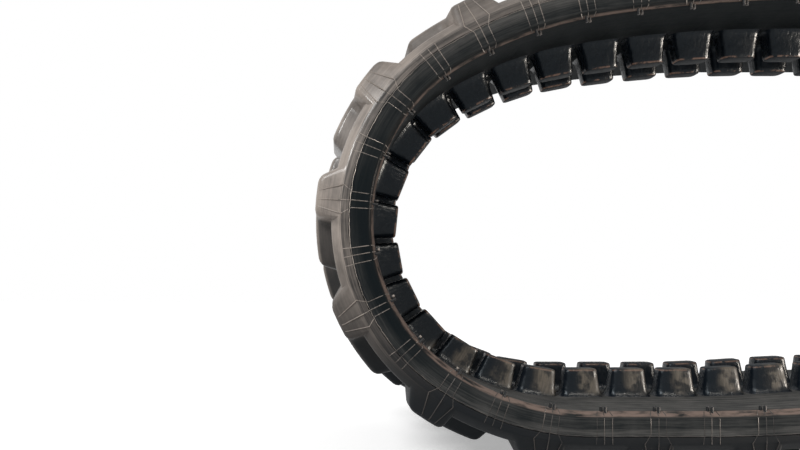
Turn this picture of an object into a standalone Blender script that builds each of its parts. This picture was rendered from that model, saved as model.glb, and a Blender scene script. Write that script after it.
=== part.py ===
"""Endless rubber track of a small excavator, standing on its tread.

A run of forged steel cores with paired guide horns is moulded into a rubber belt. The wheel side of the belt and its
tread side are two pieces, with two bands of steel cord between them. Windows in the middle let the sprocket's teeth
reach the cores' bars. X runs along the loop, Y across the belt and Z is up.

Flat track coordinates are s along the belt, y across it and h towards the inside of the loop, from the neutral line.
"""

import math

import bmesh
import bpy
from mathutils import Matrix, Vector

MM = 0.001

# Belt length
LINK_COUNT = 54
LINK_PITCH = 52.5 * MM
FIRST_LINK = 9.0 * MM  # from the middle of the upper run to the first core

# Neutral line of one end, from the middle of the upper run round to the middle of the lower run
EASE_RADIUS = 1540 * MM
EASE_ANGLE = math.radians(8.4)
SHOULDER_RADIUS = 400 * MM
SHOULDER_ANGLE = math.radians(22.8)
END_RADIUS = 188 * MM
END_ANGLE = math.radians(114.8)
FOOT_RADIUS = 260 * MM
GROUND_LENGTH = 105 * MM
BOW_ANGLE = math.radians(4.0)  # how steeply the lower run rises towards its middle
BOW_RISE_SHARE = 0.45  # part of the bowed run that curves up, before it curves back to level

# Belt section
BELT_WIDTH = 300 * MM
PATH_HEIGHT = 13.0 * MM  # wheel path above the neutral line
RIM_CHAMFER_WIDTH = 6.0 * MM
RIM_CHAMFER_HEIGHT = 5.0 * MM
BELT_DEPTH = 29.0 * MM  # tread base below the neutral line
PARTING_DEPTH = 11.5 * MM  # the mould's parting line on the belt's side
SHOULDER_DEPTH = 20.0 * MM
SHOULDER_INSET = 1.0 * MM
WEB_WIDTH = 10.0 * MM
CLEARANCE = 0.3 * MM

# Forged cores
WING_REACH = 105 * MM  # from the belt's middle to a wing's tip
WING_HALF_LENGTH = 12.0 * MM
CORE_DEPTH = 5.0 * MM  # underside below the neutral line
WING_ROOT_HEIGHT = 5.0 * MM
WING_TIP_HEIGHT = 1.0 * MM
FLANGE_HEIGHT = 10.0 * MM  # a horn flares from the bar's foot to its full length here, under the rubber's surface
HORN_INNER = 18.5 * MM
HORN_WIDTH = 27.0 * MM
HORN_LENGTH = 41.0 * MM  # near horn flush with the back of its bar and ahead of it, far horn the other way round
HORN_RISE = 30.0 * MM  # above the wheel path
HORN_DRAFT = 3.0 * MM  # each end of a horn leans in by this much
HORN_SIDE_DRAFT = 2.0 * MM
HORN_TIP_CHAMFER = 2.5 * MM

# Sprocket windows
WINDOW_WIDTH = 30.0 * MM
BAR_COVER = 2.0 * MM  # rubber on each side of a bar

# Steel cord bands
CORD_THICKNESS = 2.7 * MM
CORD_INNER = 24.0 * MM
CORD_OUTER = 110.0 * MM

# Tread lugs, one on each side at every second link
LUG_HEIGHT = 16.0 * MM
LINKS_PER_LUG = 2
BOSS_BACK = 33.0 * MM  # foot of the boss behind its core
BOSS_BACK_SLOPE = 16.0 * MM
BOSS_FRONT = 19.0 * MM
LUG_REACH = 62.0 * MM  # foot of the inner block ahead of the core
BLOCK_FRONT_SLOPE = 8.5 * MM
BLOCK_BACK = 12.0 * MM
LUG_DRAFT = 4.5 * MM
BOSS_DEPTH = 36.0 * MM  # how far the boss runs in from the belt's edge before the block steps forward
BOSS_END_DRAFT = 6.5 * MM
LUG_INNER_END = 19.0 * MM
LUG_WAIST = 74.0 * MM
LUG_ROOTING = 3.0 * MM  # how far a lug's solid reaches into the belt before they are joined

SMOOTH_ANGLE = math.radians(30)


def neutral_arcs():
    """Length and turn of each stretch of one end, with the two straight runs solved so that the loop closes."""
    foot_angle = math.pi - EASE_ANGLE - SHOULDER_ANGLE - END_ANGLE
    bends = [
        (EASE_RADIUS * EASE_ANGLE, EASE_ANGLE),
        (SHOULDER_RADIUS * SHOULDER_ANGLE, SHOULDER_ANGLE),
        (END_RADIUS * END_ANGLE, END_ANGLE),
        (FOOT_RADIUS * foot_angle, foot_angle),
    ]
    heading = math.pi
    reach = 0.0
    for length, turn in bends:
        reach += length / turn * (math.sin(heading + turn) - math.sin(heading))
        heading += turn
    # A bend from level to the bow angle covers this share of its own length along X, and so does the bend back.
    bow_share = math.sin(BOW_ANGLE) / BOW_ANGLE
    half_length = LINK_COUNT * LINK_PITCH / 2
    bend_length = sum(length for length, turn in bends)
    bow_length = (half_length - bend_length - 2 * GROUND_LENGTH - reach) / (1 + bow_share)
    top_length = half_length - bend_length - GROUND_LENGTH - bow_length
    return [
        (top_length, 0.0),
        *bends,
        (GROUND_LENGTH, 0.0),
        (bow_length * BOW_RISE_SHARE, BOW_ANGLE),
        (bow_length * (1 - BOW_RISE_SHARE), -BOW_ANGLE),
    ]


def half_loop_point(distance, arcs):
    """Point of the left half's neutral line, at a distance from the middle of the upper run."""
    position = Vector((0.0, 0.0))
    heading = math.pi
    for length, turn in arcs:
        part = min(distance, length)
        if abs(turn) < 1e-9:
            position += part * Vector((math.cos(heading), math.sin(heading)))
        else:
            radius = length / turn
            swept = part / radius
            position += radius * Vector((
                math.sin(heading + swept) - math.sin(heading),
                math.cos(heading) - math.cos(heading + swept),
            ))
            heading += swept
        distance -= part
        if distance <= 0:
            break
    return position


def loop_point(distance, arcs):
    """Point of the whole neutral line. The right half mirrors the left one."""
    whole = LINK_COUNT * LINK_PITCH
    distance %= whole
    if distance <= whole / 2:
        return half_loop_point(distance, arcs)
    mirrored = half_loop_point(whole - distance, arcs)
    return Vector((-mirrored.x, mirrored.y))


class Belt:
    """The neutral line as a chain of straight links, with a mitred seam between each pair."""

    def __init__(self):
        arcs = neutral_arcs()
        start = FIRST_LINK - LINK_PITCH / 2
        self.seams = [loop_point(start + k * LINK_PITCH, arcs) for k in range(LINK_COUNT)]
        self.along = []
        self.inward = []
        for k in range(LINK_COUNT):
            chord = (self.seams[(k + 1) % LINK_COUNT] - self.seams[k]).normalized()
            self.along.append(chord)
            self.inward.append(Vector((-chord.y, chord.x)))
        self.mitres = []
        for k in range(LINK_COUNT):
            before = self.inward[k - 1]
            after = self.inward[k]
            self.mitres.append((before + after) / (1 + before.dot(after)))

    def point(self, link, s, y, h):
        """World point for flat coordinates measured from a link's middle. It may lie on a neighbouring link."""
        steps = math.floor(s / LINK_PITCH + 0.5)
        if math.isclose(s, (steps - 0.5) * LINK_PITCH, abs_tol=1e-7):
            share = 0.0
        else:
            share = s / LINK_PITCH + 0.5 - steps
        here = (link + steps) % LINK_COUNT
        after = (here + 1) % LINK_COUNT
        back = self.seams[here] + self.mitres[here] * h
        front = self.seams[after] + self.mitres[after] * h
        flat = back.lerp(front, share)
        return Vector((flat.x, y, flat.y))

    def frame(self, link):
        """Matrix of a link's own axes: X along the belt, Y across it, Z inward."""
        middle = (self.seams[link] + self.seams[(link + 1) % LINK_COUNT]) / 2
        along = self.along[link]
        inward = self.inward[link]
        matrix = Matrix.Identity(4)
        matrix.col[0] = (along.x, 0, along.y, 0)
        matrix.col[1] = (0, 1, 0, 0)
        matrix.col[2] = (inward.x, 0, inward.y, 0)
        matrix.col[3] = (middle.x, 0, middle.y, 1)
        return matrix


def clear_scene():
    for obj in list(bpy.data.objects):
        bpy.data.objects.remove(obj, do_unlink=True)


def make_material(name, colour, roughness, metallic):
    material = bpy.data.materials.new(name)
    material.use_nodes = True
    shader = material.node_tree.nodes["Principled BSDF"]
    shader.inputs["Base Color"].default_value = (*colour, 1.0)
    shader.inputs["Roughness"].default_value = roughness
    shader.inputs["Metallic"].default_value = metallic
    return material


def add_object(name, mesh, material=None):
    obj = bpy.data.objects.new(name, mesh)
    bpy.context.scene.collection.objects.link(obj)
    if material:
        mesh.materials.append(material)
    return obj


def finish_mesh(name, bm):
    """Writes a closed bmesh to a new mesh, with its faces pointing out and its gentle creases smooth."""
    bmesh.ops.recalc_face_normals(bm, faces=bm.faces)
    mesh = bpy.data.meshes.new(name)
    bm.to_mesh(mesh)
    bm.free()
    mesh.shade_smooth()
    mesh.set_sharp_from_angle(angle=SMOOTH_ANGLE)
    return mesh


def ring_mesh(name, belt, profile):
    """A closed ring: the (y, h) profile repeated at every seam."""
    bm = bmesh.new()
    rings = []
    for link in range(LINK_COUNT):
        back_seam = -LINK_PITCH / 2
        rings.append([bm.verts.new(belt.point(link, back_seam, y, h)) for y, h in profile])
    count = len(profile)
    for link in range(LINK_COUNT):
        here = rings[link]
        after = rings[(link + 1) % LINK_COUNT]
        for i in range(count):
            j = (i + 1) % count
            bm.faces.new((here[i], here[j], after[j], after[i]))
    return finish_mesh(name, bm)


def both_sides(half):
    """A closed symmetric profile from its half at positive y, listed from the wheel side round to the tread side."""
    return half + [(-y, h) for y, h in reversed(half)]


def wheel_side_profile():
    """Section of the belt's wheel side. Its skirt drops past the cord bands to the parting line."""
    half_width = BELT_WIDTH / 2
    return both_sides([
        (half_width - RIM_CHAMFER_WIDTH, PATH_HEIGHT),
        (half_width, PATH_HEIGHT - RIM_CHAMFER_HEIGHT),
        (half_width, -PARTING_DEPTH),
        (CORD_OUTER, -CORE_DEPTH - CLEARANCE - CORD_THICKNESS),
        (CORD_OUTER, -CORE_DEPTH),
    ])


def tread_side_profile():
    """Section of the tread side's belt, a clearance below the wheel side and the cord bands."""
    half_width = BELT_WIDTH / 2
    cord_floor = -CORE_DEPTH - 2 * CLEARANCE - CORD_THICKNESS
    return both_sides([
        (CORD_INNER, -CORE_DEPTH - CLEARANCE),
        (CORD_INNER, cord_floor),
        (CORD_OUTER, cord_floor),
        (half_width, -PARTING_DEPTH - CLEARANCE),
        (half_width - SHOULDER_INSET, -SHOULDER_DEPTH),
        (half_width - SHOULDER_INSET - WEB_WIDTH, -BELT_DEPTH),
    ])


def cord_band_profile(side):
    """Section of one cord band, which fills the space between the two sides of the belt."""
    top = -CORE_DEPTH - CLEARANCE
    bottom = top - CORD_THICKNESS
    inner = CORD_INNER + CLEARANCE
    outer = CORD_OUTER - CLEARANCE
    return [(side * inner, top), (side * outer, top), (side * outer, bottom), (side * inner, bottom)]


def core_half(grow):
    """Faces of a core's near half, as lists of (s, y, h): the wing and the horn that leans ahead of the bar."""
    wing = WING_HALF_LENGTH + grow
    floor = -CORE_DEPTH - grow
    shelf = WING_ROOT_HEIGHT + grow
    tip_y = -WING_REACH - grow
    tip_h = WING_TIP_HEIGHT + grow
    outer = -HORN_INNER - HORN_WIDTH - grow
    inner = -HORN_INNER + grow
    flange = FLANGE_HEIGHT - grow
    front = HORN_LENGTH - WING_HALF_LENGTH + grow
    faces = [
        [(-wing, tip_y, floor), (wing, tip_y, floor), (wing, tip_y, tip_h), (-wing, tip_y, tip_h)],
        [(-wing, tip_y, tip_h), (wing, tip_y, tip_h), (wing, outer, shelf), (-wing, outer, shelf)],
        [(wing, tip_y, floor), (wing, outer, floor), (wing, outer, shelf), (wing, tip_y, tip_h)],
        [
            (-wing, tip_y, floor), (-wing, -inner, floor), (-wing, -inner, shelf),
            (-wing, inner, shelf), (-wing, outer, shelf), (-wing, tip_y, tip_h),
        ],
        [(wing, outer, floor), (wing, inner, floor), (front, inner, flange), (front, outer, flange)],
        [(-wing, outer, shelf), (-wing, inner, shelf), (-wing, inner, flange), (-wing, outer, flange)],
    ]
    for y in (outer, inner):
        faces.append([(wing, y, floor), (front, y, flange), (-wing, y, flange), (-wing, y, shelf), (wing, y, shelf)])

    below = [(-wing, outer, flange), (front, outer, flange), (front, inner, flange), (-wing, inner, flange)]
    tip_height = PATH_HEIGHT + HORN_RISE + grow
    for height, chamfer in ((tip_height - HORN_TIP_CHAMFER, 0.0), (tip_height, HORN_TIP_CHAMFER)):
        risen = (height - flange) / (tip_height - flange)
        ends = HORN_DRAFT * risen + chamfer
        sides = HORN_SIDE_DRAFT * risen + chamfer
        above = [
            (-wing + ends, outer + sides, height),
            (front - ends, outer + sides, height),
            (front - ends, inner - sides, height),
            (-wing + ends, inner - sides, height),
        ]
        for i in range(4):
            j = (i + 1) % 4
            faces.append([below[i], below[j], above[j], above[i]])
        below = above
    faces.append(below)
    return faces


def core_mesh(name, grow=0.0):
    """A core: a bar with two wings and two staggered horns, the same turned half a turn. A grown one cuts its pocket."""
    near = core_half(grow)
    far = [[(-s, -y, h) for s, y, h in face] for face in near]
    wing = WING_HALF_LENGTH + grow
    floor = -CORE_DEPTH - grow
    shelf = WING_ROOT_HEIGHT + grow
    tip_y = WING_REACH + grow
    outer = HORN_INNER + HORN_WIDTH + grow
    inner = HORN_INNER - grow
    underside = [(-wing, -tip_y, floor), (wing, -tip_y, floor), (wing, -outer, floor), (wing, -inner, floor)]
    underside += [(-s, -y, h) for s, y, h in underside]
    saddle = [(-wing, -inner, shelf), (wing, -inner, shelf), (wing, inner, shelf), (-wing, inner, shelf)]
    bm = bmesh.new()
    for face in (*near, *far, underside, saddle):
        bm.faces.new([bm.verts.new(corner) for corner in face])
    bmesh.ops.remove_doubles(bm, verts=bm.verts, dist=0.001 * MM)
    return finish_mesh(name, bm)


def joined_mesh(name, pieces):
    """One mesh from (mesh, matrix) pairs, each a separate closed body."""
    bm = bmesh.new()
    for mesh, matrix in pieces:
        copy = mesh.copy()
        copy.transform(matrix)
        bm.from_mesh(copy)
        bpy.data.meshes.remove(copy)
    return finish_mesh(name, bm)


def window_mesh(name, belt):
    """Every sprocket window as one bent box, from one bar's cover to the next, across a seam."""
    bm = bmesh.new()
    back = WING_HALF_LENGTH + BAR_COVER
    front = LINK_PITCH - back
    seam = LINK_PITCH / 2
    high = 2 * PATH_HEIGHT
    low = -BELT_DEPTH - LUG_HEIGHT
    for link in range(LINK_COUNT):
        walls = []
        for y in (-WINDOW_WIDTH / 2, WINDOW_WIDTH / 2):
            outline = ((back, high), (seam, high), (front, high), (front, low), (seam, low), (back, low))
            walls.append([bm.verts.new(belt.point(link, s, y, h)) for s, h in outline])
        bm.faces.new(walls[0])
        bm.faces.new(walls[1])
        for i in range(6):
            j = (i + 1) % 6
            bm.faces.new((walls[0][i], walls[0][j], walls[1][j], walls[1][i]))
    return finish_mesh(name, bm)


def lug_outlines():
    """Foot and face of a near lug in plan: a boss at the belt's edge and a block set back and forward of it."""
    edge = -BELT_WIDTH / 2 + SHOULDER_INSET + CLEARANCE
    step = -BELT_WIDTH / 2 + BOSS_DEPTH
    foot = [
        (-BOSS_BACK, edge),
        (BOSS_FRONT, edge),
        (BOSS_FRONT + LUG_DRAFT / 2, step),
        (LUG_REACH, step + LUG_DRAFT),
        (LUG_REACH, -LUG_INNER_END),
        (BLOCK_BACK, -LUG_INNER_END),
        (BLOCK_BACK, -LUG_WAIST),
        (-BOSS_BACK, step + LUG_DRAFT),
    ]
    face = [
        (-BOSS_BACK + BOSS_BACK_SLOPE, edge + BOSS_END_DRAFT),
        (BOSS_FRONT - LUG_DRAFT, edge + BOSS_END_DRAFT),
        (BOSS_FRONT - LUG_DRAFT / 2, step + LUG_DRAFT),
        (LUG_REACH - BLOCK_FRONT_SLOPE, step + 2 * LUG_DRAFT),
        (LUG_REACH - BLOCK_FRONT_SLOPE, -LUG_INNER_END - LUG_DRAFT),
        (BLOCK_BACK + LUG_DRAFT, -LUG_INNER_END - LUG_DRAFT),
        (BLOCK_BACK + LUG_DRAFT, -LUG_WAIST - LUG_DRAFT / 2),
        (-BOSS_BACK + BOSS_BACK_SLOPE, step),
    ]
    return foot, face


def flat_lug():
    """One near lug in flat coordinates, split where the seams of the links cross it."""
    foot, face = lug_outlines()
    bm = bmesh.new()
    # The boss runs out over the belt's shoulder, so its two edge corners are rooted higher than the rest.
    depths = [SHOULDER_DEPTH] * 2 + [BELT_DEPTH] * (len(foot) - 2)
    low = [bm.verts.new((s, y, LUG_ROOTING - depth)) for (s, y), depth in zip(foot, depths)]
    high = [bm.verts.new((s, y, -BELT_DEPTH - LUG_HEIGHT)) for s, y in face]
    bm.faces.new(low)
    bm.faces.new(high)
    for i in range(len(foot)):
        j = (i + 1) % len(foot)
        bm.faces.new((low[i], low[j], high[j], high[i]))
    for seam in (-LINK_PITCH / 2, LINK_PITCH / 2, 3 * LINK_PITCH / 2):
        geometry = bm.verts[:] + bm.edges[:] + bm.faces[:]
        bmesh.ops.bisect_plane(bm, geom=geometry, plane_co=(seam, 0, 0), plane_no=(1, 0, 0))
    bmesh.ops.triangulate(bm, faces=bm.faces)
    mesh = bpy.data.meshes.new("lug")
    bm.to_mesh(mesh)
    bm.free()
    return mesh


def lug_ring_mesh(name, belt):
    """All tread lugs, bent to the belt. The far lug is the near one turned half a turn about its core."""
    flat = flat_lug()
    bm = bmesh.new()
    for link in range(1, LINK_COUNT, LINKS_PER_LUG):
        for side in (-1, 1):
            verts = [
                bm.verts.new(belt.point(link, -side * v.co.x, -side * v.co.y, v.co.z)) for v in flat.vertices
            ]
            for polygon in flat.polygons:
                bm.faces.new([verts[i] for i in polygon.vertices])
    bpy.data.meshes.remove(flat)
    return finish_mesh(name, bm)


def add_boolean(obj, tool, operation):
    tool.hide_render = True
    tool.display_type = "WIRE"
    modifier = obj.modifiers.new(operation.title(), "BOOLEAN")
    modifier.operation = operation
    modifier.solver = "EXACT"
    modifier.object = tool


def build_cores(belt, steel):
    mesh = core_mesh("core")
    mesh.materials.append(steel)
    cores = []
    for link in range(LINK_COUNT):
        core = add_object(f"core_{link + 1:02d}", mesh)
        core.matrix_world = belt.frame(link)
        cores.append(core)
    return cores


def build_wheel_side(belt, rubber, windows):
    pocket = core_mesh("pocket", grow=CLEARANCE)
    pockets = joined_mesh("core_pockets", [(pocket, belt.frame(k)) for k in range(LINK_COUNT)])
    tool = add_object("core_pockets", pockets)
    band = add_object("wheel_side_rubber", ring_mesh("wheel_side", belt, wheel_side_profile()), rubber)
    add_boolean(band, windows, "DIFFERENCE")
    add_boolean(band, tool, "DIFFERENCE")
    return band


def build_tread_side(belt, rubber, windows):
    lugs = add_object("tread_lugs", lug_ring_mesh("tread_lugs", belt))
    band = add_object("tread_rubber", ring_mesh("tread_side", belt, tread_side_profile()), rubber)
    add_boolean(band, windows, "DIFFERENCE")
    add_boolean(band, lugs, "UNION")
    return band


def seat_on_ground(objects):
    """Moves the whole track so that its box stands on Z = 0, with its middle over the origin."""
    bpy.context.view_layer.update()
    graph = bpy.context.evaluated_depsgraph_get()
    corners = []
    for obj in objects:
        if not obj.hide_render:
            shape = obj.evaluated_get(graph)
            corners += [shape.matrix_world @ v.co for v in shape.data.vertices]
    low_x, high_x = min(c.x for c in corners), max(c.x for c in corners)
    shift = Vector((-(low_x + high_x) / 2, 0, -min(c.z for c in corners)))
    for obj in objects:
        obj.location += shift


def main():
    clear_scene()
    belt = Belt()
    tread_rubber = make_material("tread_rubber", (0.16, 0.14, 0.12), 0.55, 0.0)
    wheel_rubber = make_material("wheel_side_rubber", (0.035, 0.037, 0.04), 0.4, 0.0)
    forged_steel = make_material("forged_core", (0.03, 0.035, 0.04), 0.35, 0.6)
    cord_steel = make_material("cord_steel", (0.45, 0.36, 0.2), 0.35, 1.0)

    windows = add_object("sprocket_windows", window_mesh("sprocket_windows", belt))
    build_wheel_side(belt, wheel_rubber, windows)
    build_tread_side(belt, tread_rubber, windows)
    for name, side in (("cord_band_near", -1), ("cord_band_far", 1)):
        add_object(name, ring_mesh(name, belt, cord_band_profile(side)), cord_steel)
    build_cores(belt, forged_steel)
    seat_on_ground(list(bpy.context.scene.collection.objects))


main()
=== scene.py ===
# %% [markdown]
# # Rubber track
#
# An endless rubber track for a small excavator: a moulded belt with staggered tread lugs outside
# and two rows of guide horns inside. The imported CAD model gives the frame, and this lesson dresses
# it. Everything is first modelled flat, as it lies in the mould, in millimetres along the belt (X),
# across it (Y) and towards the inside (Z). Then it is bent round the loop.

# %% Load the frame
import math
import random

import bmesh
import bpy
import numpy as np
from mathutils import Matrix, Vector


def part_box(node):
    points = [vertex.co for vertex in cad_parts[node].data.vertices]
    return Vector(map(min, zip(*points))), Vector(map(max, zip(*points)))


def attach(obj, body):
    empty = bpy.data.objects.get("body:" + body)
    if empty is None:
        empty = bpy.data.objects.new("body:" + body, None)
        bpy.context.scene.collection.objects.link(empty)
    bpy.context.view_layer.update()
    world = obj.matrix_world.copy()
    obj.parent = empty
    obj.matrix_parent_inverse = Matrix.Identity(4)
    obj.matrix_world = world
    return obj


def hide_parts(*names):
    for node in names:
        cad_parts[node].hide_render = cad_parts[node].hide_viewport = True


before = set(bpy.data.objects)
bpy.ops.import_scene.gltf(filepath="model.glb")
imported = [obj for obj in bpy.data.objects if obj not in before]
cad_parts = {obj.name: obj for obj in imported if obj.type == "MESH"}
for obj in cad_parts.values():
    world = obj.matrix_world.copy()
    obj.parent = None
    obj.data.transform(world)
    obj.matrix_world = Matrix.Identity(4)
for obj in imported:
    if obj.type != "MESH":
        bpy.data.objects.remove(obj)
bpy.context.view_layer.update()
MM = 0.001

# %% [markdown]
# ## The neutral line
#
# When the belt bends, its steel cords keep their length, so the line through them is the one to
# bend the model along. It could be drawn freehand as a Bezier curve. Arcs and straight runs are
# better here, because the CAD model uses them and the pieces have to land on its cores. The two
# straight runs are solved so that the loop closes.

# %% Sizes of the loop
LINK_COUNT = 54
LINK = 52.5  # millimetres from one core to the next
PITCH = LINK * MM
FIRST_CORE = 9.0 * MM  # from the middle of the upper run
CORD_FLOOR = 8.0  # millimetres from the neutral line to the cord bands' outer side
EASE_TURN, SHOULDER_TURN, END_TURN = 8.4, 22.8, 114.8  # degrees
FOOT_TURN = 180 - EASE_TURN - SHOULDER_TURN - END_TURN
BENDS = [  # radius and turn of each arc, from the upper run round the end to the ground
    (1540 * MM, math.radians(EASE_TURN)),
    (400 * MM, math.radians(SHOULDER_TURN)),
    (188 * MM, math.radians(END_TURN)),
    (260 * MM, math.radians(FOOT_TURN)),
]
GROUND_RUN = 105 * MM
BOW_ANGLE = math.radians(4.0)  # how steeply the lower run rises towards its middle
BOW_RISE_SHARE = 0.45  # part of the bow that curves up, before it curves back to level
STEP = 3.5 * MM  # between the points of the drawn curve


# %% Solve the straight runs
def half_loop_runs():
    """Length and turn of each run, from the middle of the upper run to the middle of the lower one."""
    runs = [(radius * turn, turn) for radius, turn in BENDS]
    heading = math.pi
    reach = 0.0
    for radius, turn in BENDS:
        reach += radius * (math.sin(heading + turn) - math.sin(heading))
        heading += turn
    half = LINK_COUNT * PITCH / 2
    bent = sum(length for length, turn in runs)
    bow = (half - bent - 2 * GROUND_RUN - reach) / (1 + math.sin(BOW_ANGLE) / BOW_ANGLE)
    top = half - bent - GROUND_RUN - bow
    bow_runs = [(bow * BOW_RISE_SHARE, BOW_ANGLE), (bow * (1 - BOW_RISE_SHARE), -BOW_ANGLE)]
    return [(top, 0.0), *runs, (GROUND_RUN, 0.0), *bow_runs]


RUNS = half_loop_runs()
print("upper straight run to its end, mm:", round(RUNS[0][0] / MM, 1))


# %% Points of the neutral line
def half_loop_point(distance):
    """(x, z, heading) on the left half of the loop."""
    x = z = 0.0
    heading = math.pi
    for length, turn in RUNS:
        part = min(distance, length)
        if turn:
            radius = length / turn
            x += radius * (math.sin(heading + part / radius) - math.sin(heading))
            z += radius * (math.cos(heading) - math.cos(heading + part / radius))
            heading += part / radius
        else:
            x += part * math.cos(heading)
            z += part * math.sin(heading)
        distance -= part
        if distance <= 1e-9:
            break
    return x, z, heading


def loop_point(distance):
    """(x, z, heading) anywhere on the loop. The right half mirrors the left one."""
    whole = LINK_COUNT * PITCH
    distance %= whole
    if distance <= whole / 2:
        x, z, heading = half_loop_point(distance)
    else:
        x, z, heading = half_loop_point(whole - distance)
        x, heading = -x, 2 * math.pi - heading + 2 * math.pi
    return x + LOOP_X, z + LOOP_Z, heading


low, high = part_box("cord_band_near")
LOOP_Z = high.z - CORD_FLOOR * MM
LOOP_X = (low.x + high.x) / 2
print("neutral line's top, mm:", round(LOOP_Z / MM, 1))

# %% [markdown]
# The Curve modifier bends a mesh along a curve object. A flat curve has no twist, so the loop is
# drawn in the XY plane, and each piece is laid on its side before it is bent and then stood up
# again. Blender runs a closed flat curve clockwise. The belt's links are counted the other way, so
# the loop is drawn upside down.

# %% Draw the curve
MODULE_START = -37.0  # where a module of two links begins, from the core that has lugs
START = FIRST_CORE + PITCH + MODULE_START * MM
CURVE_POINTS = round(LINK_COUNT * PITCH / STEP)
curve = bpy.data.curves.new("neutral_line", "CURVE")
curve.dimensions = "2D"
spline = curve.splines.new("POLY")
spline.points.add(CURVE_POINTS - 1)
for i, point in enumerate(spline.points):
    x, z, heading = loop_point(START + i * LINK_COUNT * PITCH / CURVE_POINTS)
    point.co = (x, -z, 0, 1)
spline.use_cyclic_u = True
neutral_line = bpy.data.objects.new("neutral_line", curve)
bpy.context.scene.collection.objects.link(neutral_line)
print("curve length, mm:", round(spline.calc_length() / MM, 2), "of", LINK_COUNT * PITCH / MM)


# %% Handling one object at a time
def pick(obj):
    """Makes this the only selected object, so that an operator acts on nothing else."""
    bpy.ops.object.select_all(action="DESELECT")
    obj.select_set(True)
    bpy.context.view_layer.objects.active = obj
    return obj


def apply_modifier(obj, kind, **settings):
    """Adds a modifier with these settings and applies it."""
    pick(obj)
    modifier = obj.modifiers.new(kind, kind)
    for name, value in settings.items():
        setattr(modifier, name, value)
    bpy.ops.object.modifier_apply(modifier=modifier.name)
    return obj


def edit(obj, choose, operator, mode="VERT", **settings):
    """Selects the parts of a mesh that choose() accepts, in edit mode, and runs one operator on them."""
    pick(obj)
    bpy.ops.object.mode_set(mode="EDIT")
    bpy.ops.mesh.select_mode(type=mode)
    bpy.ops.mesh.select_all(action="DESELECT")
    bm = bmesh.from_edit_mesh(obj.data)
    bm.normal_update()
    parts = {"VERT": bm.verts, "EDGE": bm.edges, "FACE": bm.faces}[mode]
    chosen = [part for part in parts if choose(part)]
    for part in chosen:
        part.select_set(True)
    bm.select_flush_mode()
    bmesh.update_edit_mesh(obj.data)
    if chosen:
        operator(**settings)
    bpy.ops.object.mode_set(mode="OBJECT")
    return len(chosen)


def everything(part):
    return True


def middle(part):
    """Middle of an edge or a face."""
    return sum((v.co for v in part.verts), Vector()) / len(part.verts)


# %% A block between two outlines
def prism(name, corners, far_corners):
    """A ring of corners pulled to their places and extruded to a second outline."""
    bpy.ops.object.select_all(action="DESELECT")
    bpy.ops.mesh.primitive_circle_add(vertices=len(corners), fill_type="NGON")
    block = bpy.context.object
    block.name = name
    for vertex, corner in zip(block.data.vertices, corners):
        vertex.co = Vector(corner) * MM
    bpy.ops.object.mode_set(mode="EDIT")
    bpy.ops.mesh.select_all(action="SELECT")
    bpy.ops.mesh.extrude_region_move()
    bpy.ops.object.mode_set(mode="OBJECT")
    moved = [v for v in block.data.vertices if v.select]
    for vertex in moved:
        near = min(range(len(corners)), key=lambda i: (Vector(corners[i]) * MM - vertex.co).length)
        vertex.co = Vector(far_corners[near]) * MM
    edit(block, everything, bpy.ops.mesh.normals_make_consistent, mode="FACE")
    return block


def join(*objects):
    """Joins the others into the first object."""
    pick(objects[0])
    for other in objects[1:]:
        other.select_set(True)
    bpy.ops.object.join()
    return objects[0]


def combine(obj, tool, operation):
    """Joins the tool to the object or cuts it out, and removes the tool."""
    apply_modifier(obj, "BOOLEAN", object=tool, operation=operation, solver="EXACT")
    bpy.data.objects.remove(tool)
    return obj


# %% [markdown]
# ## The tread
#
# The tread side is a slab with chamfered shoulders. Each lug is a boss at the belt's edge that
# steps forward into a block towards the middle. It could be pulled out of the slab face by face. A
# separate block between two outlines, joined to the slab, is better, because the outlines give the
# lug its draft, and its edges can be rounded before the two are joined. Only the near half of two
# links is modelled: the far half is the same shape turned half round, and the Array modifier
# repeats the pair along the belt.

# %% Sizes of the belt, in millimetres
MODULE = 2 * LINK
HALF_WIDTH = 149.5
PATH = 13.0  # the wheel path, above the neutral line
RIM_WIDTH, RIM_HEIGHT = 6.0, 5.0
PARTING, PARTING_GAP = 11.5, 0.8
SHOULDER_INSET, SHOULDER_DEPTH = 1.0, 20.0
SHOULDER_REACH = 10.0
DEPTH = 29.0  # the tread's flat outside
CORE_FLOOR = 5.0
CORD_EDGE, CLEARANCE = 110.0, 0.3
WINDOW_BACK, WINDOW_FRONT, WINDOW_HALF = 14.0, 38.5, 15.0
LUG_HEIGHT, LUG_ROOT = 16.0, 3.0
BOSS_BACK, BOSS_SLOPE, BOSS_FRONT = 33.0, 16.0, 19.0  # along the belt, from the lug's core
BLOCK_BACK, LUG_REACH, BLOCK_SLOPE = 12.0, 62.0, 8.5
DRAFT = 4.5
BOSS_DEPTH, BOSS_END_DRAFT = 36.0, 6.5  # across the belt, from its side
INNER_END, WAIST = 19.0, 74.0  # across the belt, from its middle
SLICE = 8.75  # a flat face's length, so that the belt can bend


# %% Cutting and opening a module
PAST_MIDDLE = 5  # a window's tool reaches this far past the belt's middle
TOOL_REACH = 60


def slab(name, section):
    """A stretch of belt two links long, from its (y, h) section."""
    near = [(MODULE_START, y, h) for y, h in section]
    far = [(MODULE_START + MODULE, y, h) for y, h in section]
    return prism(name, near, far)


def cut_windows(obj):
    """Opens the near halves of the sprocket windows, between one bar's cover and the next."""
    for link in (-1, 0, 1):
        back, front = link * LINK + WINDOW_BACK, link * LINK + WINDOW_FRONT
        ring = [(back, -WINDOW_HALF), (front, -WINDOW_HALF), (front, PAST_MIDDLE), (back, PAST_MIDDLE)]
        low, high = [[(s, y, h) for s, y in ring] for h in (-TOOL_REACH, TOOL_REACH)]
        combine(obj, prism("window", low, high), "DIFFERENCE")


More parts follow.
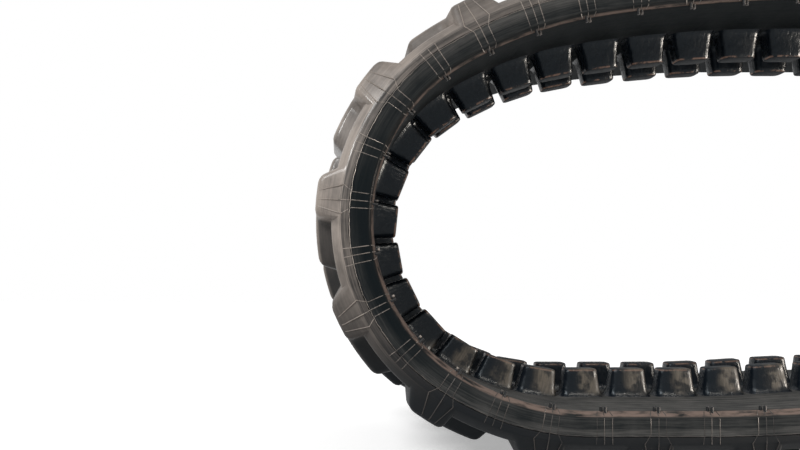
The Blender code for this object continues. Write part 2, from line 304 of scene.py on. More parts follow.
def open_ends(obj):
    """Takes away the cut faces, so that neighbours can be merged to one skin."""
    ends = (MODULE_START * MM, (MODULE_START + MODULE) * MM)

    def is_cut(face):
        c = middle(face)
        at_end = min(abs(c.x - x) for x in ends) < 1e-5 and abs(face.normal.x) > 0.99
        return at_end or (abs(c.y) < 1e-5 and face.normal.y > 0.99)

    return edit(obj, is_cut, bpy.ops.mesh.delete, mode="FACE", type="FACE")


def slice_for_bending(obj):
    """Cuts the flat skin across every few millimetres, because a flat face can't bend."""
    s = math.ceil(MODULE_START / SLICE) * SLICE
    while s < MODULE_START + MODULE - 0.5:
        edit(
            obj, everything, bpy.ops.mesh.bisect, mode="FACE",
            plane_co=(s * MM, 0, 0), plane_no=(1, 0, 0), threshold=1e-6,
        )
        s += SLICE


def round_edges(obj, choose, radius, segments, clamp=False):
    """Bevels the chosen edges. Clamping keeps neighbouring bevels from crossing."""
    return edit(
        obj, choose, bpy.ops.mesh.bevel, mode="EDGE",
        offset=radius * MM, segments=segments, affect="EDGES", clamp_overlap=clamp,
    )


# %% Model one stretch of belt
tread = slab("tread_skin", [
    (0, -CORD_FLOOR - CLEARANCE),
    (-HALF_WIDTH, -PARTING - PARTING_GAP),
    (-HALF_WIDTH + SHOULDER_INSET, -SHOULDER_DEPTH),
    (-HALF_WIDTH + SHOULDER_INSET + SHOULDER_REACH, -DEPTH),
    (0, -DEPTH),
])


def is_shoulder(edge):
    """A line along the belt where its side turns to the outside."""
    c = middle(edge) / MM
    ends = (edge.verts[0].co - edge.verts[1].co) / MM
    return abs(ends.x) > 1 and c.y < -HALF_WIDTH + 2 * SHOULDER_REACH and c.z < -SHOULDER_DEPTH + 1


shoulders = round_edges(tread, is_shoulder, radius=2.4, segments=2)
print("shoulder edges rounded:", shoulders)

# %% Model one lug
lug_end = -HALF_WIDTH + SHOULDER_INSET + CLEARANCE
step = -HALF_WIDTH + BOSS_DEPTH
foot = [
    (-BOSS_BACK, lug_end), (BOSS_FRONT, lug_end),
    (BOSS_FRONT + DRAFT / 2, step), (LUG_REACH, step + DRAFT),
    (LUG_REACH, -INNER_END), (BLOCK_BACK, -INNER_END),
    (BLOCK_BACK, -WAIST), (-BOSS_BACK, step + DRAFT),
]
face = [
    (-BOSS_BACK + BOSS_SLOPE, lug_end + BOSS_END_DRAFT),
    (BOSS_FRONT - DRAFT, lug_end + BOSS_END_DRAFT),
    (BOSS_FRONT - DRAFT / 2, step + DRAFT),
    (LUG_REACH - BLOCK_SLOPE, step + 2 * DRAFT),
    (LUG_REACH - BLOCK_SLOPE, -INNER_END - DRAFT),
    (BLOCK_BACK + DRAFT, -INNER_END - DRAFT),
    (BLOCK_BACK + DRAFT, -WAIST - DRAFT / 2),
    (-BOSS_BACK + BOSS_SLOPE, step),
]
roots = [SHOULDER_DEPTH - LUG_ROOT] * 2 + [DEPTH - LUG_ROOT] * 6
lug = prism(
    "lug",
    [(s, y, -root) for (s, y), root in zip(foot, roots)],
    [(s, y, -DEPTH - LUG_HEIGHT) for s, y in face],
)
print("lug on", len(foot), "corners")


# %% Round the lug and set it on the belt
def is_free(edge):
    """An edge of the lug that doesn't lie inside the belt."""
    return min(v.co.z for v in edge.verts) < -(DEPTH + 5) * MM


def is_valley(edge):
    """An edge where the lug meets the belt's flat outside."""
    flat = all(abs(v.co.z + DEPTH * MM) < 1e-5 for v in edge.verts)
    folded = len(edge.link_faces) == 2 and edge.calc_face_angle(0) > math.radians(30)
    return flat and folded and middle(edge).y < -(INNER_END - 1) * MM


round_edges(lug, is_free, radius=5.0, segments=3, clamp=True)
combine(tread, lug, "UNION")
cut_windows(tread)
open_ends(tread)
rounded = round_edges(tread, is_valley, radius=4.0, segments=3, clamp=True)
slice_for_bending(tread)
print("valley edges rounded:", rounded, "faces:", len(tread.data.polygons))

# %% [markdown]
# ## Repeat and bend
#
# The module is repeated, its turned copy makes the far half, and the two are merged along the
# middle. Before the belt is bent, every point's flat place is kept in an attribute. The rubber's
# finish can then follow the belt round the loop, as it does in the mould.


# %% From a module to the whole belt
def whole_belt(obj):
    """Repeats a near module round the belt and adds its far half, turned half a turn about a core."""
    far = obj.copy()
    far.data = obj.data.copy()
    bpy.context.scene.collection.objects.link(far)
    far.data.transform(Matrix.Rotation(math.pi, 4, "Z"))
    for part in (obj, far):
        apply_modifier(
            part, "ARRAY", count=LINK_COUNT // 2, use_relative_offset=False, use_constant_offset=True,
            constant_offset_displace=(MODULE * MM, 0, 0), use_merge_vertices=True, merge_threshold=2e-5,
        )
    return join(obj, far)


def keep_flat_place(mesh, offset=0.0):
    """Keeps where each point lies while the belt is flat, with X 0 at the first core that has lugs."""
    flat = np.zeros(len(mesh.vertices) * 3, np.float32)
    mesh.vertices.foreach_get("co", flat)
    flat[0::3] += offset
    mesh.attributes.new("flat", "FLOAT_VECTOR", "POINT").data.foreach_set("vector", flat)


def bend(obj):
    """Keeps each point's flat place, then bends the mesh round the loop."""
    keep_flat_place(obj.data)
    obj.data.transform(Matrix.Translation((-MODULE_START * MM, 0, 0)))
    obj.data.transform(Matrix.Rotation(math.pi / 2, 4, "X"))
    apply_modifier(obj, "CURVE", object=neutral_line, deform_axis="POS_X")
    obj.data.transform(Matrix.Rotation(-math.pi / 2, 4, "X"))
    return obj


SMOOTH_BELOW = math.radians(35)


def seal(obj):
    """Merges the seams of a bent skin and turns its faces outwards."""
    edit(obj, everything, bpy.ops.mesh.remove_doubles, threshold=3e-5)
    edit(obj, everything, bpy.ops.mesh.normals_make_consistent, mode="FACE")
    pick(obj)
    bpy.ops.object.shade_smooth_by_angle(angle=SMOOTH_BELOW)
    bm = bmesh.new()
    bm.from_mesh(obj.data)
    loose = sum(1 for e in bm.edges if len(e.link_faces) != 2)
    triangles = sum(len(f.verts) - 2 for f in bm.faces)
    bm.free()
    print(obj.name, "triangles:", triangles, "open or crowded edges:", loose)


# %% The whole tread
seal(bend(whole_belt(tread)))
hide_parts("tread_rubber")
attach(tread, "root")

# %% [markdown]
# ## The wheel side
#
# The inner half of the belt is smooth, because rollers run on it. It has a chamfered rim on both
# sides and a skirt down to the mould's parting line. It is one more slab with the same windows, so
# the same steps make it.

# %% Model the wheel side's module
wheel_side = slab("wheel_side_skin", [
    (0, PATH),
    (-HALF_WIDTH + RIM_WIDTH, PATH),
    (-HALF_WIDTH, PATH - RIM_HEIGHT),
    (-HALF_WIDTH, -PARTING),
    (-CORD_EDGE, -CORD_FLOOR),
    (-CORD_EDGE, -CORE_FLOOR),
    (0, -CORE_FLOOR),
])
cut_windows(wheel_side)
opened = open_ends(wheel_side)
print("cut faces opened:", opened)


# %% Round the rim and the windows' mouths
def is_rim(edge):
    """A line along the belt on either side of the rim's chamfer."""
    c = middle(edge) / MM
    return len(edge.link_faces) == 2 and c.y < -HALF_WIDTH + RIM_WIDTH + 0.5 and c.z > 0


def is_mouth(edge):
    """An edge where a window opens into the wheel path."""
    c = middle(edge) / MM
    sharp = len(edge.link_faces) == 2 and edge.calc_face_angle(0) > math.radians(60)
    return sharp and c.y > -WINDOW_HALF - 5 and abs(c.z - PATH) < 0.01


round_edges(wheel_side, is_rim, radius=1.6, segments=3)
round_edges(wheel_side, is_mouth, radius=1.2, segments=2)
slice_for_bending(wheel_side)
seal(bend(whole_belt(wheel_side)))
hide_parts("wheel_side_rubber")
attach(wheel_side, "root")

# %% [markdown]
# ## The cores
#
# Each core is a steel forging: a bar under the rubber and two tapered guide horns, one ahead of the
# bar and one behind it. A horn could be one beveled box, but the real one swells where the rubber
# climbs up its foot, and that soft root catches the light. So the box is cut into rings, and each
# ring is scaled to the horn's outline there.

# %% One horn
HORN_LENGTH, HORN_WIDTH, HORN_INNER = 41.0, 27.0, 18.5
HORN_BOTTOM, TIP = 2.0, 43.0
WING_HALF, WING_REACH = 12.0, 105.0  # half its length along the belt, and its end across it
WING_ROOT, WING_TIP = 5.0, 1.0  # heights of its upper side
HORN_RINGS = [  # height, then how far the outline stands out from the plain block, along and across
    (9.5, 4.8, 4.4), (13.0, 3.4, 3.1), (14.4, 2.1, 1.9), (16.4, 1.1, 0.9), (19.5, 0.2, 0.1),
    (30.0, -1.3, -1.0), (38.0, -2.2, -1.7), (TIP, -2.8, -2.1),
]


def horn(name):
    """The near horn, ahead of its bar, from inside the rubber to its tip."""
    centre = Vector((HORN_LENGTH / 2 - WING_HALF, -HORN_INNER - HORN_WIDTH / 2, 0)) * MM
    bpy.ops.object.select_all(action="DESELECT")
    bpy.ops.mesh.primitive_cube_add(size=1, location=(centre.x, centre.y, (HORN_BOTTOM + TIP) / 2 * MM))
    block = bpy.context.object
    block.name = name
    block.scale = Vector((HORN_LENGTH, HORN_WIDTH, TIP - HORN_BOTTOM)) * MM
    bpy.ops.object.transform_apply(location=True, rotation=True, scale=True)
    for height, _, _ in HORN_RINGS[:-1]:
        edit(
            block, everything, bpy.ops.mesh.bisect, mode="FACE",
            plane_co=(0, 0, height * MM), plane_no=(0, 0, 1), threshold=1e-6,
        )
    for height, along, across in HORN_RINGS:
        share = (1 + 2 * along / HORN_LENGTH, 1 + 2 * across / HORN_WIDTH, 1)
        edit(
            block, lambda v: abs(v.co.z - height * MM) < 1e-6, bpy.ops.transform.resize,
            value=share, center_override=(centre.x, centre.y, height * MM),
        )
    return block


def is_upright(edge):
    """An edge that runs from the horn's foot towards its tip."""
    a, b = edge.verts
    return abs(a.co.z - b.co.z) > 0.5 * (a.co - b.co).length


def is_tip(edge):
    return all(abs(v.co.z - TIP * MM) < 1e-6 for v in edge.verts)


near_horn = horn("near_horn")
round_edges(near_horn, is_upright, radius=6.5, segments=4)
round_edges(near_horn, is_tip, radius=1.8, segments=2)
print("horn faces:", len(near_horn.data.polygons))

# %% The bar between the horns
outline = [
    (-WING_REACH, -CORE_FLOOR), (WING_REACH, -CORE_FLOOR), (WING_REACH, WING_TIP),
    (HORN_INNER, WING_ROOT), (-HORN_INNER, WING_ROOT), (-WING_REACH, WING_TIP),
]
back, front = [[(s, y, h) for y, h in outline] for s in (-WING_HALF, WING_HALF)]
core = prism("core", back, front)
far_horn = near_horn.copy()
far_horn.data = near_horn.data.copy()
bpy.context.scene.collection.objects.link(far_horn)
far_horn.data.transform(Matrix.Rotation(math.pi, 4, "Z"))
combine(core, near_horn, "UNION")
combine(core, far_horn, "UNION")
pick(core)
bpy.ops.object.shade_smooth_by_angle(angle=SMOOTH_BELOW)
print("core faces:", len(core.data.polygons))


# %% Set a copy at every link
def link_matrix(distance):
    """The belt's own axes at a distance along the loop."""
    x, z, heading = loop_point(distance)
    along = Vector((math.cos(heading), 0, math.sin(heading)))
    inward = Vector((-math.sin(heading), 0, math.cos(heading)))
    matrix = Matrix((along, Vector((0, 1, 0)), inward)).transposed().to_4x4()
    matrix.translation = (x, 0, z)
    return matrix


cores = []
for link in range(LINK_COUNT):
    mesh = core.data.copy()
    keep_flat_place(mesh, link * PITCH)
    mesh.transform(link_matrix(FIRST_CORE + link * PITCH))
    piece = bpy.data.objects.new(f"guide_core_{link + 1:02d}", mesh)
    bpy.context.scene.collection.objects.link(piece)
    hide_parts(f"core_{link + 1:02d}")
    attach(piece, "root")
    cores.append(piece)
bpy.data.objects.remove(core)
print("cores:", len(cores))

# %% [markdown]
# ## Moulding marks
#
# Rubber creeps into the vents of the mould and leaves fine raised lines across the belt's side,
# three at each core. Beside a core with lugs they fan out over the boss, and at the next core they
# stop at the shoulder. Two short pegs stand at the rim beside every core, and a thin flash runs
# along the parting line. A bump in the rubber's finish could draw these marks, but it wouldn't
# catch the light at the belt's outline. The lines are drawn through a few points and given a small
# round section, and each peg is a short cone.


# %% Draw a raised line
def ridge(name, points, radius):
    """A thin round line through a few points, in millimetres."""
    bpy.ops.object.select_all(action="DESELECT")
    bpy.ops.mesh.primitive_circle_add(vertices=len(points), fill_type="NOTHING")
    line = bpy.context.object
    line.name = name
    for vertex, point in zip(line.data.vertices, points):
        vertex.co = Vector(point) * MM
    closing = {0, len(points) - 1}
    edit(
        line, lambda e: {v.index for v in e.verts} == closing, bpy.ops.mesh.delete,
        mode="EDGE", type="EDGE",
    )
    pick(line)
    bpy.ops.object.convert(target="CURVE")
    line.data.bevel_depth = radius * MM
    line.data.bevel_resolution = 0
    line.data.use_fill_caps = True
    bpy.ops.object.convert(target="MESH")
    return line


# %% Vent lines of two links
VENT_RADIUS = 0.46
SIDE = HALF_WIDTH + 0.02
END_LEVEL = 39.5  # how far down the boss its vent lines run
BOSS_FOOT = SHOULDER_DEPTH - LUG_ROOT
END_FACE = lug_end + BOSS_END_DRAFT * (END_LEVEL - BOSS_FOOT) / (DEPTH + LUG_HEIGHT - BOSS_FOOT)
VENTS = (  # each core, and the places of its three lines on the side, at the shoulder and on the boss
    (0, [(-7.5, -13, -6.5), (0.3, 0.8, 1.5), (7.5, 13, 8)]),
    (LINK, [(-7.5, -8, 0), (-0.5, 0, 0), (7.5, 8, 0)]),
)
vents = []
for bar, lines in VENTS:
    for side, shoulder, end in lines:
        points = [
            (bar + side * 0.8, -HALF_WIDTH + RIM_WIDTH - 1.2, PATH - 0.9),
            (bar + side, -SIDE + 1.4, PATH - RIM_HEIGHT + 1.3),
            (bar + side, -SIDE, PATH - RIM_HEIGHT - 2.5),
            (bar + side, -SIDE, -PARTING + 2),
            (bar + shoulder, -SIDE + SHOULDER_INSET, -SHOULDER_DEPTH + 0.6),
        ]
        if not bar:
            points.append((bar + end, END_FACE - 0.1, -END_LEVEL))
            points.append((bar + end * 0.9, END_FACE + 1.4, -END_LEVEL - 3))
        vents.append(ridge("vent", points, VENT_RADIUS))
vent_lines = join(*vents)
vent_lines.name = "vent_lines"
print("vent lines of two links:", len(vents))

# %% Pegs at the rim
PEG_FOOT, PEG_TIP, PEG_LENGTH = 1.7, 1.4, 6.0
PEG_PLACES = ((-1.9, HALF_WIDTH - 6.4), (1.9, HALF_WIDTH - 4.6))  # from core and belt's middle
pegs = []
for bar in (0, LINK):
    for s, y in PEG_PLACES:
        bpy.ops.object.select_all(action="DESELECT")
        bpy.ops.mesh.primitive_cone_add(
            vertices=8, radius1=PEG_FOOT * MM, radius2=PEG_TIP * MM, depth=PEG_LENGTH * MM,
            location=((bar + s) * MM, -y * MM, (PATH + 0.8) * MM),
        )
        bpy.ops.object.transform_apply(location=True, rotation=True, scale=True)
        pegs.append(bpy.context.object)
rim_pegs = join(*pegs)
rim_pegs.name = "rim_pegs"
print("pegs of two links:", len(pegs))

# %% The flash along the parting line
random.seed(4)
FLASH_STEPS, FLASH_RADIUS = 30, 0.4
wander = [(random.uniform(-0.15, 0.25), random.uniform(-0.3, 0.3)) for _ in range(FLASH_STEPS)]
wander.append(wander[0])
flash = ridge("parting_flash", [
    (MODULE_START + i * MODULE / FLASH_STEPS, -HALF_WIDTH + 0.2 - out, -PARTING + 0.3 + up)
    for i, (out, up) in enumerate(wander)
], FLASH_RADIUS)
print("flash points:", len(wander))

# %% Repeat the marks on both sides
for marks in (vent_lines, rim_pegs, flash):
    bend(whole_belt(marks))
    edit(marks, everything, bpy.ops.mesh.normals_make_consistent, mode="FACE")
    pick(marks)
    bpy.ops.object.shade_smooth_by_angle(angle=math.radians(50))
    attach(marks, "root")
    print(marks.name, "faces:", len(marks.data.polygons))

# %% [markdown]
# ## Writing shader maths
#
# A material is a small program. Its maths reads best as an expression, so this class wraps a socket
# and turns the operators into Math nodes. Every other node comes from one method.


# %% Sockets with operators
class Value:
    """An output socket that adds Math nodes for the operators used on it."""

    def __init__(self, finish, socket):
        self.finish = finish
        self.socket = socket

    def maths(self, operation, *others):
        """A Math node with this value first."""
        inputs = dict(enumerate((self, *others)))
        return self.finish.node("ShaderNodeMath", {"operation": operation}, inputs)

    def __add__(self, other):
        return self.maths("ADD", other)

    def __sub__(self, other):
        return self.maths("SUBTRACT", other)

    def __mul__(self, other):
        return self.maths("MULTIPLY", other)

    def __rsub__(self, other):
        return self * -1 + other

    __radd__ = __add__
    __rmul__ = __mul__

    def between(self, low, high):
        """0 below low, 1 above high, and a smooth rise from one to the other."""
        return self.finish.node(
            "ShaderNodeMapRange", {"interpolation_type": "SMOOTHSTEP"},
            {"Value": self, "From Min": low, "From Max": high},
        )


# %% The nodes of one material
class Finish:
    """A material with one Principled surface, or the world's nodes."""

    def __init__(self, name):
        self.material = bpy.data.materials.new(name)
        self.material.use_nodes = True
        self.tree = self.material.node_tree
        self.surface = self.tree.nodes["Principled BSDF"]

    @classmethod
    def of_tree(cls, tree):
        finish = cls.__new__(cls)
        finish.tree = tree
        return finish

    def node(self, kind, settings=None, inputs=None, output=0):
        """Adds a node, sets its settings, then its values and links."""
        made = self.tree.nodes.new(kind)
        for name, value in (settings or {}).items():
            setattr(made, name, value)
        self.fill(made, inputs or {})
        return Value(self, made.outputs[output])

    def fill(self, node, inputs):
        """Links values to a node's inputs, or sets them to plain numbers."""
        for name, value in inputs.items():
            if isinstance(value, Value):
                self.tree.links.new(value.socket, node.inputs[name])
            else:
                node.inputs[name].default_value = value

    def noise(self, place, size, detail=3.0, rough=0.55):
        """Cloudy noise from 0 to 1 whose patches are about size millimetres wide."""
        inputs = {"Vector": place, "Scale": 1 / (size * MM), "Detail": detail, "Roughness": rough}
        return self.node("ShaderNodeTexNoise", {}, inputs)

    def stretched(self, place, factors):
        """A place scaled along each axis. A small factor draws a pattern out along that axis."""
        settings = {"operation": "MULTIPLY"}
        return self.node("ShaderNodeVectorMath", settings, {0: place, 1: factors})

    def mix(self, share, first, second):
        """Colour between two colours."""
        return self.node(
            "ShaderNodeMix", {"data_type": "RGBA"},
            {"Factor": share, 6: first, 7: second}, output=2,
        )

    def parts(self, place):
        """The three coordinates of a vector, one by one."""
        first = self.node("ShaderNodeSeparateXYZ", {}, {0: place})
        return [Value(self, socket) for socket in first.socket.node.outputs]

    def parts_of(self, kind, *names):
        """Several outputs of one new node."""
        outputs = self.node(kind).socket.node.outputs
        return [Value(self, outputs[name]) for name in names]

    def bump(self, height, distance, strength=1.0):
        """A relief that is distance millimetres high."""
        inputs = {"Height": height, "Distance": distance * MM, "Strength": strength}
        return self.node("ShaderNodeBump", {}, inputs)


# %% [markdown]
# ## Rubber
#
# New track rubber is nearly black. It gets a warm grey bloom where it was handled and where dust
# settles, and it keeps a fine grain from the mould with long streaks where the rubber flowed. The
# same pale colour also paints light and shade. Its thinning low on the loop is partly painted shade,
# and the tread's darker top and hollows are painted shade. The tread's outside near the top is
# painted lighter, the lower run's wheel path is partly painted light, the vent lines and the flash
# carry a partly painted highlight, and one peg of each pair a painted glint. The wheel side's black
# is cooler and its bloom greyer, and the edge of its rim is worn to a reddish stain. The colours and
# the grain follow the flat place of each point, so that nothing slides when the belt bends.

# %% The belt's rubber
# The pale colours are both the rubber's bloom and its painted light and shade.
CLEAN, BLOOM_AND_PAINTED_LIGHT = (0.0055, 0.0075, 0.0095, 1), (0.330, 0.285, 0.250, 1)
COOL, GREY_BLOOM_AND_PAINTED_LIGHT = (0.0048, 0.0082, 0.0102, 1), (0.305, 0.290, 0.270, 1)  # of the wheel side
STAIN = (0.300, 0.218, 0.180, 1)


def belt_rubber(name, bloom_and_painted_light, gloss, sheen, roughness=0.3, stained=False):
    """Black rubber under a pale bloom, with painted light and shade in the same pale colour.

    The function passed in gives the pale colour's share, for the bloom and for painted light and shade,
    from the flat place and from the real height above the ground.
    """
    finish = Finish(name)
    flat = finish.node("ShaderNodeAttribute", {"attribute_name": "flat"}, output="Vector")
    place = finish.node("ShaderNodeTexCoord", output="Object")
    across, height = finish.parts(flat)[1:]
    level = finish.parts(place)[2]
    bands = finish.noise(finish.stretched(flat, (0.008, 1, 1)), 2.6, 3)
    streaks = finish.noise(finish.stretched(flat, (0.05, 1, 1)), 1.4, 5, 0.6)
    clouds = finish.noise(flat, 30, 4)
    patches = finish.noise(flat, 7, 6, 0.7)
    grain = finish.noise(flat, 0.5, 2)
    from_middle = across.maths("ABSOLUTE")
    drawn = 0.2 + 0.8 * height.between(-0.0240, -0.0200)
    lines = 0.5 * bands.between(0.38, 0.62) + 0.5 * streaks.between(0.43, 0.61)
    uneven = 0.15 + 0.5 * clouds.between(0.3, 0.7) + 0.45 * (1 - drawn) + lines * drawn
    share = bloom_and_painted_light(from_middle, height, level) * uneven
    colour = finish.mix(share, COOL if stained else CLEAN, GREY_BLOOM_AND_PAINTED_LIGHT if stained else BLOOM_AND_PAINTED_LIGHT)
    if stained:
        rim_edge = from_middle.between(0.1425, 0.1445)
        rim_foot = 0.0105 - 0.003 * (1 - level.between(0.06, 0.3))
        rim = rim_edge * (height - rim_foot).between(-0.0006, 0.0012)
        blots = finish.noise(finish.stretched(flat, (0.25, 1, 1)), 6, 4, 0.6)
        worn = rim * blots.between(0.31, 0.57)
        colour = finish.mix(worn * 0.62, colour, STAIN)
    relief = grain * 0.2 + bands * 0.35 + patches * 0.45
    finish.fill(finish.surface, {
        "Base Color": colour,
        "Roughness": roughness + 0.30 * patches + 0.15 * clouds,
        "Normal": finish.bump(relief, 0.4, 0.8),
        "Specular IOR Level": gloss,
        "Coat Weight": sheen * level.between(0.2, 0.34) * (1 - 0.9 * level.between(0.345, 0.385)),
        "Coat Roughness": 0.2,
    })
    return finish.material


# %% Where the bloom, the painted light and the painted shade lie
def on_tread(from_middle, height, level):
    """Dust lies on the upper half of the loop and less on the skirt. Its thinning low down is partly
    painted shade, the darker very top and the hollows are painted shade, and the outside near the top is
    painted lighter.
    """
    skirt = height.between(-0.0200, -0.0192)
    # painted shade in the hollows between boss and block
    painted_hollow_shade = (1 - from_middle.between(0.111, 0.132)) * height.between(-0.0450, -0.0410)
    painted_hollow_shade = painted_hollow_shade * (1 - 0.55 * level.between(0.29, 0.34))
    # less bloom low down, partly dust and partly painted shade, and painted shade at the very top
    dust_and_shade = (0.01 + 0.98 * level.between(0.06, 0.28)) * (1 - 0.45 * level.between(0.36, 0.46))
    # painted light on the tread's outside near the top
    painted_outward_light = (1 - from_middle.between(0.1380, 0.1415)) * level.between(0.40, 0.46)
    return dust_and_shade * (1 - 0.5 * skirt) * (1 - 0.8 * painted_hollow_shade) * (0.93 + 0.6 * painted_outward_light)


def on_wheel_side(from_middle, height, level):
    """The side face is paler on the two long runs and next to the parting line. The wheel path is pale
    only on the lower run, where it faces up: partly dust and partly painted light.
    """
    path = height.between(0.0115, 0.0125)
    low_run = 1 - level.between(0.06, 0.14)
    near_parting = 1 - height.between(-0.0080, 0.0005)
    upper = level.between(0.26, 0.45)
    lower = 1 - level.between(0.19, 0.27)
    by_parting = (0.018 + 0.08 * upper + 0.065 * lower) * near_parting
    runs = 0.004 + 0.085 * upper + by_parting + 0.09 * low_run
    # the lower run's wheel path: partly dust, partly painted light where it faces up
    return runs * (1 - path) + (0.028 + 0.23 * low_run) * path


def on_vents(from_middle, height, level):
    """Partly dust and partly a painted highlight on the raised lines: pale except near the ground, and
    half as pale above the parting line.
    """
    above_parting = height.between(-0.014, -0.010)
    # paler than the belt round them: partly dust, partly a painted highlight
    return 0.12 + 1.08 * level.between(0.05, 0.2) * (1 - 0.5 * above_parting)


def on_pegs(from_middle, height, level):
    """One peg of each pair gets a painted glint at its tip, strongest on the end's lower half."""
    inner = 1 - from_middle.between(0.1448, 0.1452)
    # a painted glint on the inner peg's tip
    painted_glint = (1.3 - 1.0 * level.between(0.20, 0.28)) * level.between(0.07, 0.10)
    return 0.02 + painted_glint * inner * height.between(0.0140, 0.0160)


def on_flash(from_middle, height, level):
    """Pale round the end, partly dust and partly a painted highlight on the bead, darker near the ground
    and along the upper run.
    """
    # partly dust, partly a painted highlight on the bead
    return 0.12 + 0.9 * level.between(0.06, 0.22) * (1 - 0.7 * level.between(0.3, 0.42))


# %% Dress the rubber
for piece, finish in (
    (tread, belt_rubber("tread_rubber_bloom_and_painted_light", on_tread, 0.12, 0.5)),
    (wheel_side, belt_rubber("wheel_side_rubber_stain_and_painted_light", on_wheel_side, 0.03, 0.04, 0.5, True)),
    (vent_lines, belt_rubber("vent_line_rubber", on_vents, 0.2, 0.2)),
    (flash, belt_rubber("flash_rubber", on_flash, 0.4, 0.3)),
    (rim_pegs, belt_rubber("peg_rubber", on_pegs, 0.2, 0.2)),
):
    piece.data.materials.clear()
    piece.data.materials.append(finish)
    print(piece.name, "gets", finish.name)

# %% [markdown]
# ## Horns
#
# The horns have a thin glossy skin over the steel. It is worn brown at the tips' edges. On the
# lower run, whose horns look up, the outer faces get pale matt patches as well, partly scuffs and
# partly a painted reflection of the light from the right. The patches lie on each horn's leading
# half, so the finish first finds out where a point lies along its own link.

# %% The horns' skin
SKIN = (0.003, 0.006, 0.010, 1)
SCUFF_AND_REFLECTION = (0.140, 0.118, 0.092, 1)
WORN = (0.30, 0.18, 0.13, 1)
LINK_START = -16.3 * MM  # where a core's stretch of belt begins, from its bar
horn_finish = Finish("horn_skin")
flat = horn_finish.node("ShaderNodeAttribute", {"attribute_name": "flat"}, output="Vector")
place = horn_finish.node("ShaderNodeTexCoord", output="Object")
level = horn_finish.parts(place)[2]
along, across, height = horn_finish.parts(flat)
from_bar = along.maths("WRAP", LINK_START + PITCH, LINK_START)
ahead = from_bar * across.maths("SIGN") * -1
mottle = horn_finish.noise(flat, 12, 3, 0.5)
dents = horn_finish.noise(horn_finish.stretched(flat, (1, 1, 0.4)), 3.5, 3)
scratches = horn_finish.noise(horn_finish.stretched(flat, (1, 1, 0.06)), 1.6, 4)
fine = horn_finish.noise(flat, 1.0, 3)
low_run = 1 - level.between(0.100, 0.125)
outer = across.maths("ABSOLUTE").between(0.030, 0.040)
leading = ahead.between(-0.002, 0.012)
face = height.between(0.012, 0.022)
# pale patches on the lower run's outer faces: partly scuffs, partly a painted reflection
scuffs_and_reflection = (0.2 + 0.9 * mottle.between(0.40, 0.60)) * (0.6 + 0.4 * scratches.between(0.35, 0.65))
scuffs_and_reflection = scuffs_and_reflection * leading * outer * face * low_run + 0.04 * mottle
tips = height.between(0.0403, 0.0413) * (1 - height.between(0.0422, 0.0427))
tips = tips * horn_finish.noise(flat, 8, 2).between(0.42, 0.58)
colour = horn_finish.mix(scuffs_and_reflection, SKIN, SCUFF_AND_REFLECTION)
colour = horn_finish.mix(tips * (0.75 - 0.35 * low_run), colour, WORN)
matt = 0.16 + 0.3 * scuffs_and_reflection + 0.2 * mottle + 0.5 * height.between(0.0415, 0.0426)
relief = mottle * 0.35 + dents * 0.5 + fine * 0.1 + scratches * 0.05
horn_finish.fill(horn_finish.surface, {
    "Base Color": colour,
    "Roughness": matt,
    "Normal": horn_finish.bump(relief, 1.2, 0.9),
    "Specular IOR Level": 0.16,
    "Specular Tint": (0.86, 0.95, 1.0, 1),
})
for piece in cores:
    piece.data.materials.clear()
    piece.data.materials.append(horn_finish.material)
print("horn skin's nodes:", len(horn_finish.tree.nodes))

# %% [markdown]
# ## Cords
#
# Between the two rubber halves run bands of brass-coated steel cord. They are CAD parts and stay as
# they are. Cords lie side by side along the belt, so the pattern is a row of ridges across it, with
# painted shade between the cords and a painted highlight on each crest.

# %% The cords' finish
CORD_SPACING = 3.4 * MM
DARK_BRASS, BRIGHT_BRASS = (0.16, 0.11, 0.05, 1), (0.55, 0.42, 0.22, 1)
cord_finish = Finish("brass_coated_cord")
place = cord_finish.node("ShaderNodeTexCoord", output="Object")
across = cord_finish.parts(place)[1]
turns = across * (2 * math.pi / CORD_SPACING)
ridges = turns.maths("SINE") * 0.5 + 0.5
shade = cord_finish.noise(place, 4, 4)
# painted shade between the cords and a painted highlight on their crests
cord_finish.fill(cord_finish.surface, {
    "Base Color": cord_finish.mix(ridges * 0.7 + shade * 0.3, DARK_BRASS, BRIGHT_BRASS),
    "Metallic": 1.0,
    "Roughness": 0.3 + 0.25 * shade,
    "Normal": cord_finish.bump(ridges, 0.5),
})
for name in ("cord_band_near", "cord_band_far"):
    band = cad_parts[name]
    band.data.materials.clear()
    band.data.materials.append(cord_finish.material)
    print(name, "gets", cord_finish.material.name)

# %% [markdown]
# ## Camera
#
# The photograph looks square at the track's side from just outside its left half, low and close.
# The camera's place and its lens come from a fit to the horns and the moulding marks. The picture
# is cut from the side of a wider view, so the lens is shifted and not turned.

# %% Set the camera
PICTURE_WIDTH, PICTURE_HEIGHT = 800, 450  # pixels
AXIS_X, AXIS_Y = 342.4, 280.0  # where the lens's axis meets the picture, from its top left corner
FOCAL = 821.3  # pixels
SENSOR_WIDTH = 36  # millimetres
camera_data = bpy.data.cameras.new("camera")
camera = bpy.data.objects.new("camera", camera_data)
bpy.context.scene.collection.objects.link(camera)
camera.location = (-0.6147 + LOOP_X, -0.952, -0.2896 + LOOP_Z)
camera.rotation_euler = (math.pi / 2, 0, 0)
camera_data.sensor_width = SENSOR_WIDTH
camera_data.lens = FOCAL / PICTURE_WIDTH * SENSOR_WIDTH
camera_data.shift_x = (PICTURE_WIDTH / 2 - AXIS_X) / PICTURE_WIDTH
camera_data.shift_y = (AXIS_Y - PICTURE_HEIGHT / 2) / PICTURE_WIDTH
bpy.context.scene.camera = camera
bpy.context.scene.view_settings.view_transform = "Standard"
print("lens, mm:", round(camera_data.lens, 1), "camera height:", round(camera.location.z / MM))

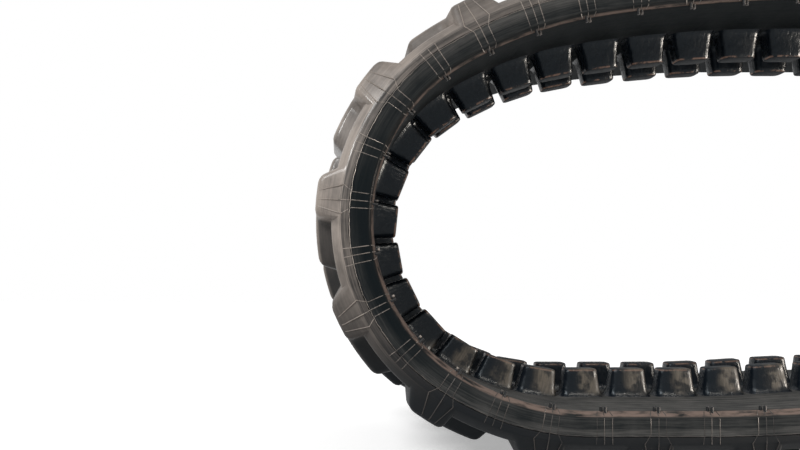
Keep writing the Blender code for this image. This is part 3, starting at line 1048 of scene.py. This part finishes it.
# %% [markdown]
# ## Light and floor
#
# A soft sun from the upper left makes the outside of the end pale and leaves the side face dark, as
# in the photograph. Three lamps add nothing but glints. A strip at the right picks out the horns'
# edges and stays below the track's top, so that no glare lies on the tread. Two small panels make
# glossy spots on the left end. The floor is a pale plane that keeps the track's
# shadow. To the camera and to reflections the world is white, and the floor is lifted to white
# where it is fully lit. What lights the track stays plain.


# %% Lamps
def lamp(name, kind, place, aim, only_glints=False, **settings):
    """A lamp that shines from a place towards a point, and that the camera doesn't see."""
    data = bpy.data.lights.new(name, kind)
    for key, value in settings.items():
        setattr(data, key, value)
    made = bpy.data.objects.new(name, data)
    bpy.context.scene.collection.objects.link(made)
    made.location = place
    made.rotation_euler = (Vector(aim) - Vector(place)).to_track_quat("-Z", "Y").to_euler()
    made.visible_camera = False
    made.visible_diffuse = not only_glints
    return made


WARM = (1.0, 0.86, 0.74)
lamp("soft_sun", "SUN", (-1.7, -1.3, 2.1), (-0.3, 0.0, 0.25), energy=2.5, angle=math.radians(25))
lamp(
    "right_strip", "AREA", (1.6, -0.55, 0.26), (-0.2, 0, 0.26), only_glints=True,
    energy=150, color=WARM, shape="RECTANGLE", size=1.0, size_y=0.5,
)
lamp(
    "left_glow", "AREA", (-1.5, -0.65, 0.8), (-0.6, 0, 0.4), only_glints=True,
    energy=5, shape="RECTANGLE", size=0.15, size_y=0.15,
)
lamp(
    "upper_glow", "AREA", (-0.05, -1.1, 1.15), (-0.5, -0.1, 0.4), only_glints=True,
    energy=14, color=WARM, shape="RECTANGLE", size=0.3, size_y=0.3,
)


# %% World and floor
def seen_directly(finish):
    """1 for the camera and for reflections, 0 for light that falls on a surface."""
    camera_ray, glossy_ray, transmission_ray = finish.parts_of(
        "ShaderNodeLightPath", "Is Camera Ray", "Is Glossy Ray", "Is Transmission Ray",
    )
    return camera_ray.maths("MAXIMUM", glossy_ray).maths("MAXIMUM", transmission_ray)


AMBIENT = 0.28
FLOOR_SIZE = 12
FLOOR_GREYS = (0.80, 0.80, 0.80, 1), (0.84, 0.84, 0.84, 1)
FLOOR_LIFT = (0.38, 0.38, 0.38, 1)
world = bpy.data.worlds.new("studio")
bpy.context.scene.world = world
world.use_nodes = True
sky = Finish.of_tree(world.node_tree)
background = world.node_tree.nodes["Background"]
white = seen_directly(sky) * (1 - AMBIENT) + AMBIENT
sky.fill(background, {"Color": (1, 1, 1, 1), "Strength": white})

bpy.ops.object.select_all(action="DESELECT")
bpy.ops.mesh.primitive_plane_add(size=FLOOR_SIZE)
floor = bpy.context.object
floor.name = "floor"
floor_finish = Finish("pale_floor")
place = floor_finish.node("ShaderNodeTexCoord", output="Object")
speckle = floor_finish.noise(place, 3, 3)
lift = seen_directly(floor_finish)
floor_finish.fill(floor_finish.surface, {
    "Base Color": floor_finish.mix(speckle, *FLOOR_GREYS),
    "Roughness": 0.9,
    "Emission Color": floor_finish.mix(lift, (0, 0, 0, 1), FLOOR_LIFT),
    "Emission Strength": 1.0,
})
floor.data.materials.append(floor_finish.material)

# %% Remove the neutral line
bpy.data.objects.remove(neutral_line)
